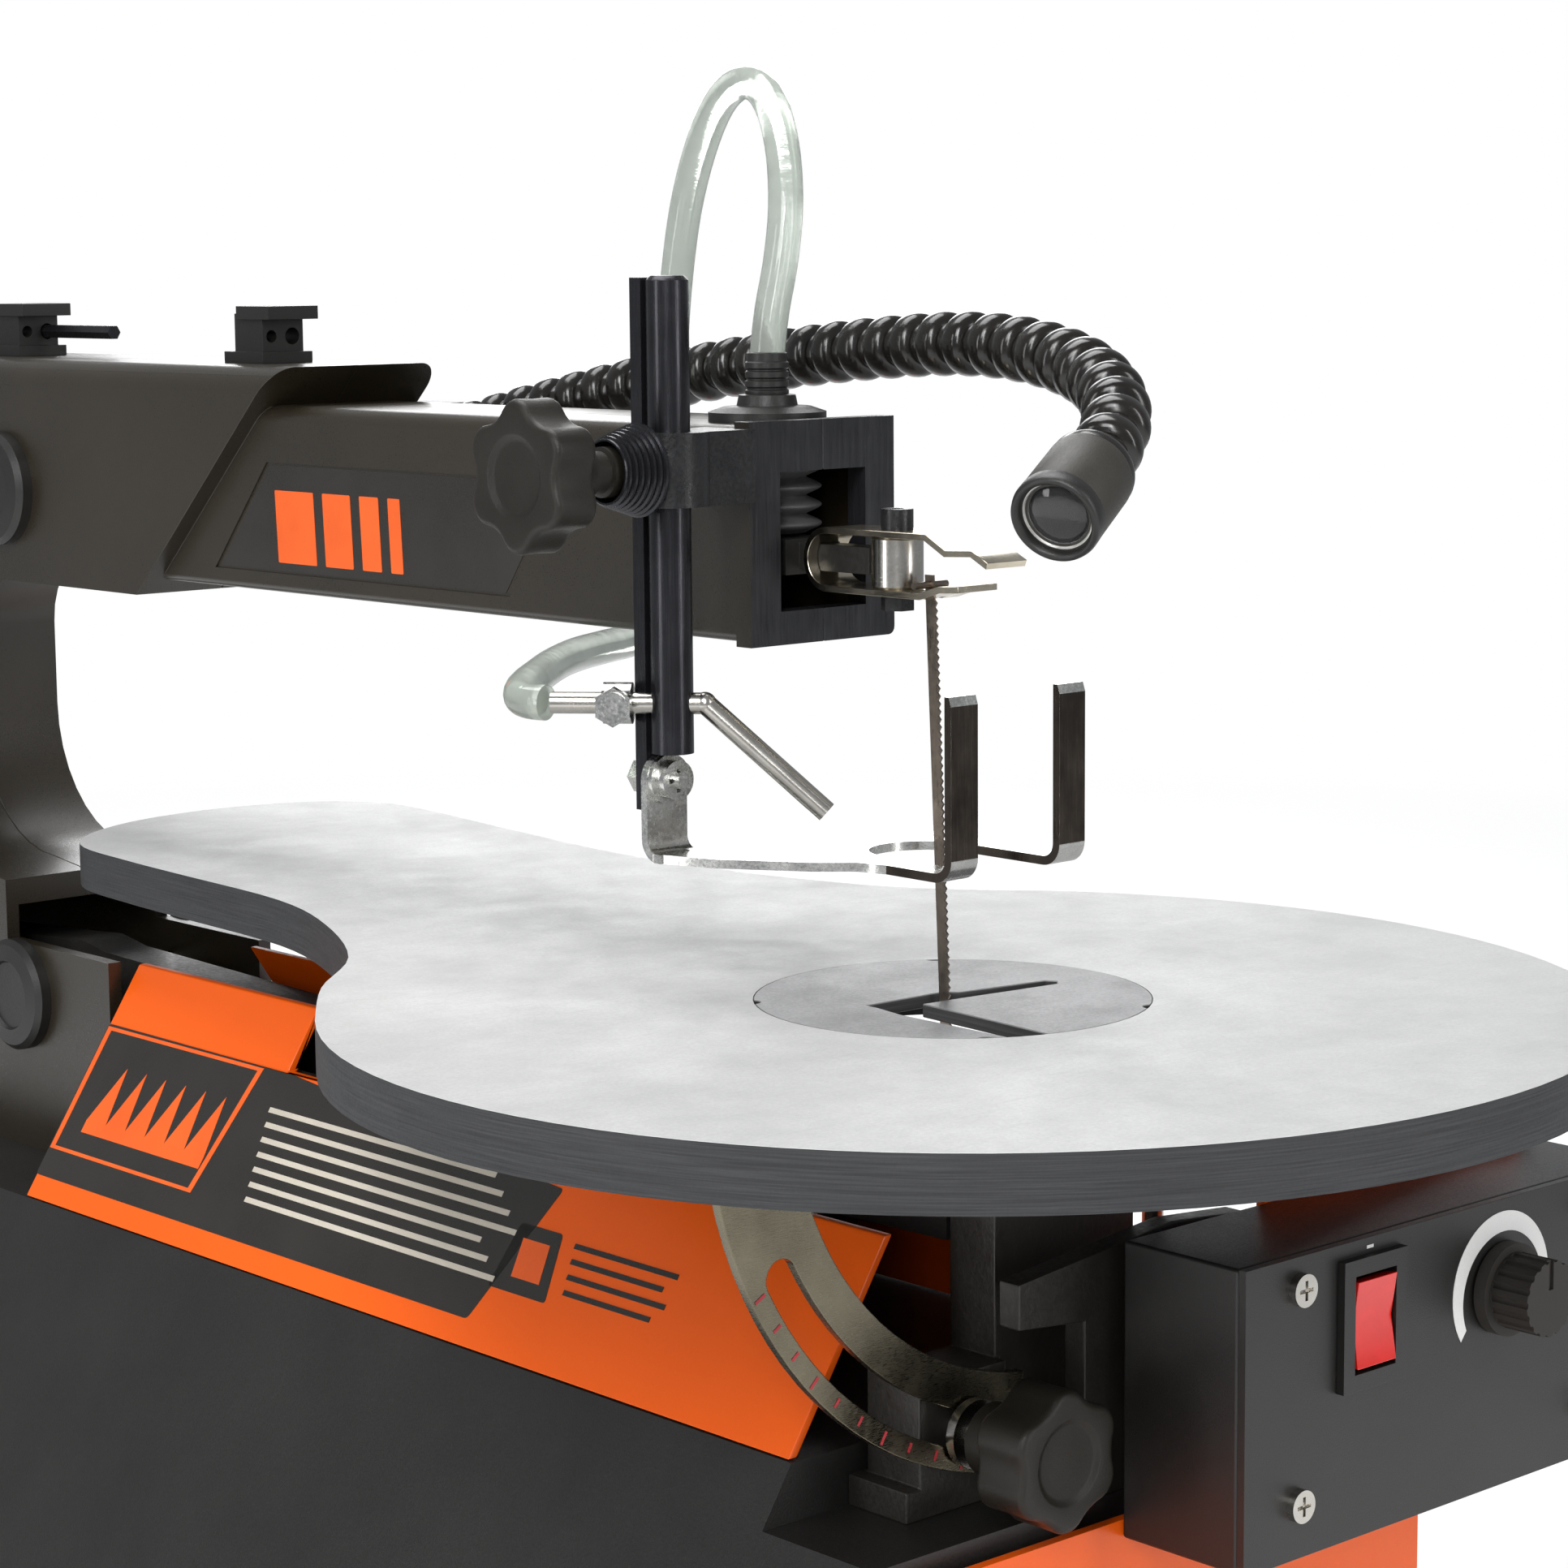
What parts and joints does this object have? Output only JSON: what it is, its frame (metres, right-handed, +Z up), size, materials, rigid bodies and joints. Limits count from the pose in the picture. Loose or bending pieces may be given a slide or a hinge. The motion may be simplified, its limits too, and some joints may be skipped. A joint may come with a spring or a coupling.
{
  "type": "scroll saw",
  "caption": "Bench scroll saw with a C-shaped frame, parallel rocking arms, tilting table, drop foot with air blower and a bead-type work light.",
  "frame": {"origin": "centre of the four bench bolt holes, on the bottom plane of the base", "axes": "+X to the operator's right, +Y from the operator to the back along the arms, +Z up; the operator stands on the -Y side"},
  "size_m": [0.308, 0.6495, 0.4115],
  "materials": {
    "cast_black": "satin black paint over casting",
    "housing_black": "satin black powder coat",
    "orange_paint": "gloss orange paint with a black label",
    "black_plastic": "fine moulded texture",
    "knob_plastic": "matte moulded",
    "bead_plastic": "glossy black",
    "table_metal": "ground cast aluminium",
    "insert_metal": "brushed",
    "zinc_steel": "bright zinc plate",
    "brushed_steel": "brushed",
    "spring_steel": "spring steel",
    "bracket_steel": "oiled steel plate",
    "blade_steel": "hardened steel",
    "arm_metal": "dark cast aluminium",
    "bronze": "sintered bronze",
    "black_rod": "black oxide steel",
    "bellows_rubber": "matte rubber",
    "hose_vinyl": "clear vinyl",
    "red_plastic": "gloss red",
    "motor_paint": "dark grey"
  },
  "bodies": {
    "frame": {"base_casting": "cast_black", "front_support": "cast_black", "left_side_panel": "orange_paint", "right_side_panel": "orange_paint", "motor_cover": "orange_paint", "front_panel": "orange_paint", "frame_left": "housing_black", "frame_right": "housing_black", "frame_screws": "brushed_steel", "pivot_caps": "black_plastic", "pivot_pins": "brushed_steel", "tool_clips": "black_plastic", "hex_wrench": "black_rod", "cord_gland": "black_plastic", "hose_fitting": "black_plastic", "pump_bellows": "bellows_rubber", "air_hose": "hose_vinyl", "foot_clamp": "housing_black", "motor_body": "motor_paint", "motor_end_cap": "motor_paint", "table_lock_bolt": "brushed_steel", "levelling_screw": "brushed_steel", "control_box": "housing_black", "face_plate": "black_plastic", "switch_bezel": "black_plastic", "panel_screws": "brushed_steel", "gooseneck_base": "black_plastic"},
    "lower_arm": {"lower_arm": "arm_metal", "lower_bushing": "bronze", "lower_blade_holder": "brushed_steel"},
    "upper_arm": {"upper_arm": "arm_metal", "upper_bushing": "bronze", "blade_clip": "spring_steel", "clip_roller": "brushed_steel", "clip_screw": "black_rod"},
    "blade": {"saw_blade": "blade_steel", "blade_pins": "blade_steel"},
    "tension_rod": {"tension_rod": "brushed_steel"},
    "tension_knob": {"tension_knob": "knob_plastic"},
    "drive_link": {"drive_link": "brushed_steel"},
    "eccentric": {"eccentric": "brushed_steel"},
    "drop_foot": {"foot_rod": "black_rod", "guide_bar": "black_rod", "foot_screw": "zinc_steel", "blower_collar": "zinc_steel", "blower_screw": "zinc_steel"},
    "forked_foot": {"forked_foot": "zinc_steel"},
    "blower_tube": {"blower_tube": "brushed_steel"},
    "foot_lock_knob": {"foot_lock_knob": "knob_plastic"},
    "table": {"table": "table_metal", "table_insert": "insert_metal", "table_screws": "brushed_steel", "bevel_bracket": "bracket_steel", "trunnion_rocker": "arm_metal"},
    "table_lock_knob": {"table_lock_knob": "knob_plastic"},
    "power_switch": {"power_switch": "red_plastic"},
    "speed_knob": {"speed_knob": "knob_plastic"},
    "gooseneck_back": {"gooseneck_back": "bead_plastic"},
    "gooseneck_middle": {"gooseneck_middle": "bead_plastic"},
    "lamp_head": {"lamp_head": "bead_plastic"}
  },
  "joints": [
    {"name": "arm_rock", "type": "hinge", "parent": "frame", "child": "lower_arm", "pos_m": [0, 0.163, 0.159], "axis": [1, 0, 0], "range_deg": [-1.18, 1.18]},
    {"name": "upper_arm_rock", "type": "hinge", "parent": "frame", "child": "upper_arm", "pos_m": [0, 0.163, 0.304], "axis": [1, 0, 0], "range_deg": [-1.18, 1.18], "deforming": ["pump_bellows"]},
    {"name": "blade_swing", "type": "hinge", "parent": "lower_arm", "child": "blade", "pos_m": [0, -0.18894, 0.168], "axis": [1, 0, 0], "range_deg": [-1.18, 1.18]},
    {"name": "tension_rod_swing", "type": "hinge", "parent": "lower_arm", "child": "tension_rod", "pos_m": [0, 0.265, 0.159], "axis": [1, 0, 0], "range_deg": [-1.18, 1.18]},
    {"name": "drive_link_swing", "type": "hinge", "parent": "lower_arm", "child": "drive_link", "pos_m": [0, 0.023, 0.151], "axis": [1, 0, 0], "range_deg": [-1.18, 1.18]},
    {"name": "tension_knob_turn", "type": "hinge", "parent": "tension_rod", "child": "tension_knob", "pos_m": [0, 0.265, 0.355], "axis": [0, 0, 1], "range_deg": [-360, 360]},
    {"name": "motor_spin", "type": "hinge", "parent": "frame", "child": "eccentric", "pos_m": [0, 0.023, 0.055], "axis": [1, 0, 0], "continuous": true},
    {"name": "drop_foot_slide", "type": "slide", "parent": "frame", "child": "drop_foot", "axis": [0, 0, 1], "range_m": [-0.0288, 0.02], "deforming": ["air_hose"]},
    {"name": "foot_tilt", "type": "hinge", "parent": "drop_foot", "child": "forked_foot", "pos_m": [-0.041, -0.14, 0.253], "axis": [0, -1, 0], "range_deg": [0, 14]},
    {"name": "blower_swivel", "type": "hinge", "parent": "drop_foot", "child": "blower_tube", "pos_m": [-0.041, -0.144, 0.27], "axis": [0.6649, -0.7469, 0], "range_deg": [-25, 25]},
    {"name": "foot_lock_turn", "type": "hinge", "parent": "frame", "child": "foot_lock_knob", "pos_m": [-0.08, -0.144, 0.3216], "axis": [-1, 0, 0], "range_deg": [-180, 180]},
    {"name": "table_tilt", "type": "hinge", "parent": "frame", "child": "table", "pos_m": [0, -0.19, 0.205], "axis": [0, -1, 0], "range_deg": [0, 45]},
    {"name": "table_lock_turn", "type": "hinge", "parent": "frame", "child": "table_lock_knob", "pos_m": [-0.02631, -0.24, 0.11893], "axis": [0, -1, 0], "range_deg": [-180, 180]},
    {"name": "switch_rock", "type": "hinge", "parent": "frame", "child": "power_switch", "pos_m": [0.042, -0.27, 0.141], "axis": [1, 0, 0], "range_deg": [-12, 12]},
    {"name": "speed_turn", "type": "hinge", "parent": "frame", "child": "speed_knob", "pos_m": [0.088, -0.28, 0.139], "axis": [0, -1, 0], "range_deg": [-135, 135]},
    {"name": "light_swing_base", "type": "hinge", "parent": "frame", "child": "gooseneck_back", "pos_m": [0.0315, 0.028, 0.321], "axis": [0, 0, 1], "range_deg": [0, 25]},
    {"name": "light_swing_middle", "type": "hinge", "parent": "gooseneck_back", "child": "gooseneck_middle", "pos_m": [0.04054, -0.06667, 0.33937], "axis": [0, 0, 1], "range_deg": [-10, 24]},
    {"name": "light_tilt", "type": "hinge", "parent": "gooseneck_middle", "child": "lamp_head", "pos_m": [0.03542, -0.1631, 0.34706], "axis": [0.992, -0.1266, 0], "range_deg": [-20, 20]}
  ],
  "couplings": [
    {"joint": "upper_arm_rock", "follows": "arm_rock", "ratio": 1},
    {"joint": "blade_swing", "follows": "arm_rock", "ratio": -1},
    {"joint": "tension_rod_swing", "follows": "arm_rock", "ratio": -1},
    {"joint": "drive_link_swing", "follows": "arm_rock", "ratio": -1}
  ]
}
